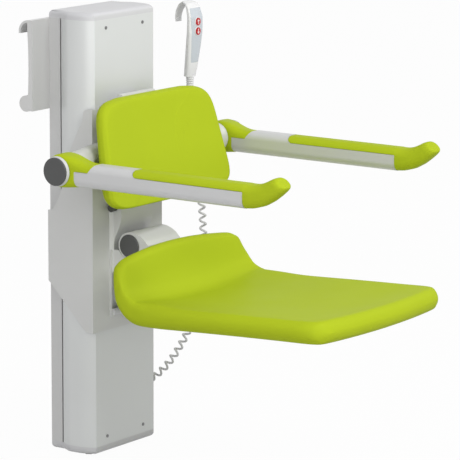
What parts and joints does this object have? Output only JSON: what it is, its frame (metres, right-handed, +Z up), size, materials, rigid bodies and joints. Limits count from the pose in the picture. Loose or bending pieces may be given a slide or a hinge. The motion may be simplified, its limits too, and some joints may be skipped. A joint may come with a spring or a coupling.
{
  "type": "shower seat",
  "caption": "Wall-hung shower seat with a lime cushion and backrest, fold-up arms, a height-adjustable carriage on a pale column and a corded hand control.",
  "frame": {"origin": "middle of the line where the wall rail bears in the bracket's hook, halfway along the bracket", "axes": "+Z up along the column, -Y out of the wall toward the user, +X to the right of someone facing the seat"},
  "size_m": [0.665, 0.821, 0.9495],
  "materials": {
    "column_silver": "satin",
    "cover_white": "satin",
    "cap_white": "semi-gloss",
    "carriage_white": "satin",
    "bracket_silver": "anodised",
    "steel": "zinc plated",
    "screw_steel": "plain",
    "black_plastic": "matte",
    "cap_dark": "semi-gloss",
    "lime_soft": "integral foam skin",
    "lime_hard": "semi-gloss",
    "arm_silver": "anodised",
    "hub_white": "satin",
    "handset_white": "fine texture",
    "panel_blue": "film",
    "board_green": "circuit board",
    "button_red": "matte",
    "cord_grey": "smooth"
  },
  "bodies": {
    "column": {"column_profile": "column_silver", "front_cover": "cover_white", "top_block": "black_plastic", "bottom_block": "black_plastic", "top_cap": "cap_white", "bottom_cap": "cap_white", "cover_screws": "screw_steel", "wall_bracket": "bracket_silver", "bracket_rod": "bracket_silver", "bracket_screws": "screw_steel", "guide_rods": "steel", "actuator_tube": "steel", "actuator_motor": "black_plastic", "actuator_foot": "steel", "foot_pin": "screw_steel", "control_box": "black_plastic", "handset_gland": "black_plastic", "mains_gland": "black_plastic", "handset_front": "handset_white", "handset_back": "handset_white", "handset_panel": "panel_blue", "handset_board": "board_green", "handset_relief": "cord_grey", "handset_cord": "cord_grey"},
    "carriage": {"carriage_cover": "carriage_white", "carriage_slide": "steel", "glide_bushes": "black_plastic", "actuator_rod": "screw_steel", "rod_pin": "screw_steel", "mount_block": "carriage_white", "block_screws": "screw_steel", "side_plugs": "cap_dark", "seat_stop": "cap_white", "seat_axle": "screw_steel", "carrier_left": "hub_white", "carrier_right": "hub_white", "arm_axle_left": "screw_steel", "arm_axle_right": "screw_steel", "backrest_plate": "steel", "backrest_cushion": "lime_soft", "backrest_screws": "screw_steel"},
    "seat": {"seat_bracket": "steel", "seat_hub": "hub_white", "seat_cap_left": "cap_dark", "seat_cap_right": "cap_dark", "seat_bushes": "black_plastic", "seat_cushion": "lime_soft", "seat_screws": "screw_steel"},
    "arm_left": {"arm_tube_left": "arm_silver", "arm_cover_left": "lime_hard", "arm_pad_left": "lime_soft", "arm_cap_left": "cap_dark", "arm_ring_left": "cap_white"},
    "arm_right": {"arm_tube_right": "arm_silver", "arm_cover_right": "lime_hard", "arm_pad_right": "lime_soft", "arm_cap_right": "cap_dark", "arm_ring_right": "cap_white"},
    "button_up": {"button_up": "button_red"},
    "button_down": {"button_down": "button_red"}
  },
  "joints": [
    {"name": "lift", "type": "slide", "parent": "column", "child": "carriage", "axis": [0, 0, 1], "range_m": [-0.21, 0.16]},
    {"name": "seat_fold", "type": "hinge", "parent": "carriage", "child": "seat", "pos_m": [0, -0.194, -0.467], "axis": [-1, 0, 0], "range_deg": [0, 76]},
    {"name": "arm_left_fold", "type": "hinge", "parent": "carriage", "child": "arm_left", "pos_m": [-0.274, -0.198, -0.274], "axis": [-1, 0, 0], "range_deg": [0, 95]},
    {"name": "arm_right_fold", "type": "hinge", "parent": "carriage", "child": "arm_right", "pos_m": [0.274, -0.198, -0.274], "axis": [-1, 0, 0], "range_deg": [0, 95]},
    {"name": "button_up_press", "type": "slide", "parent": "column", "child": "button_up", "axis": [0, 1, 0], "range_m": [0, 0.001], "stiffness_N_per_m": 300},
    {"name": "button_down_press", "type": "slide", "parent": "column", "child": "button_down", "axis": [0, 1, 0], "range_m": [0, 0.001], "stiffness_N_per_m": 300}
  ]
}
